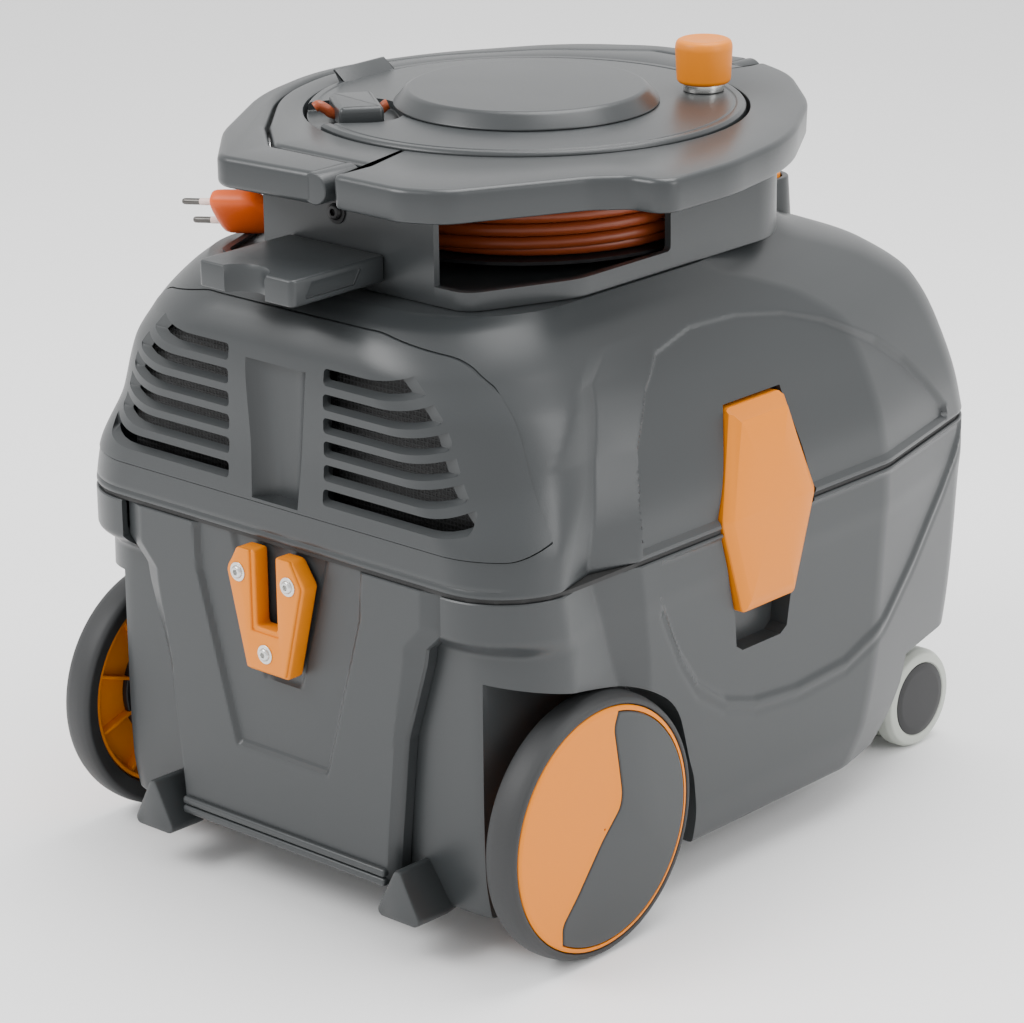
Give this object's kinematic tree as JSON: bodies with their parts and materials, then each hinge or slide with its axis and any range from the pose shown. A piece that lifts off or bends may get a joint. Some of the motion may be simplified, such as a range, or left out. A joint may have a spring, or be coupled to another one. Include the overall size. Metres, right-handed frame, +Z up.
{
  "type": "shop vacuum",
  "caption": "Wheeled canister shop vacuum with side latches, rear exhaust louvres, a crank reel for the cord on top and a swing-up carry handle.",
  "frame": {"origin": "floor level, in the middle plane between the two big wheels, at half the overall depth", "axes": "+Z up, +Y towards the hose inlet and the casters, +X towards the right-hand big wheel seen from the rear"},
  "size_m": [0.378, 0.4992, 0.484],
  "materials": {
    "body_grey": "satin, fine grain",
    "bright_orange": "satin",
    "black_plastic": "matte",
    "tyre": "matte",
    "caster_rubber": "matte",
    "seal_rubber": "matte",
    "steel": "bright",
    "cord_orange": "satin",
    "fleece": "felted",
    "foam": "open cell",
    "motor_shell": "matte black"
  },
  "bodies": {
    "tub": {"lower_tub": "body_grey", "rear_panel": "body_grey", "rear_foot_right": "body_grey", "rear_foot_left": "body_grey", "parking_bracket": "bright_orange", "bracket_screw_left": "steel", "bracket_screw_right": "steel", "bracket_screw_bottom": "steel", "hose_inlet": "black_plastic", "bag_holder": "black_plastic", "dust_bag": "fleece", "axle_right": "steel", "axle_left": "steel"},
    "head": {"upper_housing": "body_grey", "exhaust_cover": "body_grey", "exhaust_filter": "foam", "motor_deck": "black_plastic", "motor_unit": "motor_shell", "motor_filter": "foam", "main_gasket": "seal_rubber", "wand_rest": "body_grey", "cable_column": "body_grey", "top_ring": "body_grey", "ring_screw_rear": "black_plastic", "ring_screw_right": "black_plastic", "handle_pin_rear": "steel", "handle_pin_front": "steel", "reel_spindle": "steel", "latch_pin_right": "steel", "latch_pin_left": "steel", "cord_winding": "cord_orange", "cord_lead": "cord_orange", "mains_plug": "cord_orange"},
    "reel": {"reel_drum": "black_plastic", "crank_disc": "body_grey", "disc_cap": "body_grey", "cord_clamp": "body_grey", "cord_loop": "cord_orange", "knob_pin": "steel"},
    "crank_knob": {"crank_knob": "bright_orange"},
    "carry_handle": {"carry_handle": "body_grey"},
    "latch_right": {"latch_right": "bright_orange"},
    "latch_left": {"latch_left": "bright_orange"},
    "power_button": {"power_button": "bright_orange"},
    "wheel_right": {"wheel_tyre_right": "tyre", "wheel_rim_right": "bright_orange", "wheel_insert_right": "body_grey"},
    "caster_right": {"caster_fork_right": "black_plastic", "caster_axle_right": "steel"},
    "caster_wheel_right": {"caster_wheel_outer_right": "caster_rubber", "caster_wheel_inner_right": "caster_rubber"},
    "wheel_left": {"wheel_tyre_left": "tyre", "wheel_rim_left": "bright_orange", "wheel_insert_left": "body_grey"},
    "caster_left": {"caster_fork_left": "black_plastic", "caster_axle_left": "steel"},
    "caster_wheel_left": {"caster_wheel_outer_left": "caster_rubber", "caster_wheel_inner_left": "caster_rubber"}
  },
  "joints": [
    {"name": "head_lift", "type": "slide", "parent": "tub", "child": "head", "axis": [0, 0, 1], "range_m": [0, 0.25]},
    {"name": "reel_spin", "type": "hinge", "parent": "head", "child": "reel", "pos_m": [0, -0.0115, 0.452], "axis": [0, 0, 1], "continuous": true},
    {"name": "knob_spin", "type": "hinge", "parent": "reel", "child": "crank_knob", "pos_m": [0.063, 0.079, 0.47], "axis": [0, 0, 1], "continuous": true},
    {"name": "handle_lift", "type": "hinge", "parent": "head", "child": "carry_handle", "pos_m": [0.02, -0.0115, 0.44], "axis": [0, 1, 0], "range_deg": [0, 85]},
    {"name": "latch_swing_right", "type": "hinge", "parent": "head", "child": "latch_right", "pos_m": [0.1675, -0.006, 0.293], "axis": [0, -1, 0], "range_deg": [0, 35]},
    {"name": "latch_swing_left", "type": "hinge", "parent": "head", "child": "latch_left", "pos_m": [-0.1675, -0.006, 0.293], "axis": [0, 1, 0], "range_deg": [0, 35]},
    {"name": "button_press", "type": "slide", "parent": "head", "child": "power_button", "axis": [0, 0, -1], "range_m": [0, 0.0025], "stiffness_N_per_m": 400, "springref_m": -0.003},
    {"name": "wheel_roll_right", "type": "hinge", "parent": "tub", "child": "wheel_right", "pos_m": [0.178, -0.16, 0.08], "axis": [1, 0, 0], "continuous": true},
    {"name": "caster_swivel_right", "type": "hinge", "parent": "tub", "child": "caster_right", "pos_m": [0.1147, 0.1957, 0.08], "axis": [0, 0, 1], "continuous": true},
    {"name": "caster_roll_right", "type": "hinge", "parent": "caster_right", "child": "caster_wheel_right", "pos_m": [0.1147, 0.2157, 0.033], "axis": [1, 0, 0], "continuous": true},
    {"name": "wheel_roll_left", "type": "hinge", "parent": "tub", "child": "wheel_left", "pos_m": [-0.178, -0.16, 0.08], "axis": [1, 0, 0], "continuous": true},
    {"name": "caster_swivel_left", "type": "hinge", "parent": "tub", "child": "caster_left", "pos_m": [-0.1147, 0.1957, 0.08], "axis": [0, 0, 1], "continuous": true},
    {"name": "caster_roll_left", "type": "hinge", "parent": "caster_left", "child": "caster_wheel_left", "pos_m": [-0.1147, 0.2157, 0.033], "axis": [1, 0, 0], "continuous": true}
  ]
}
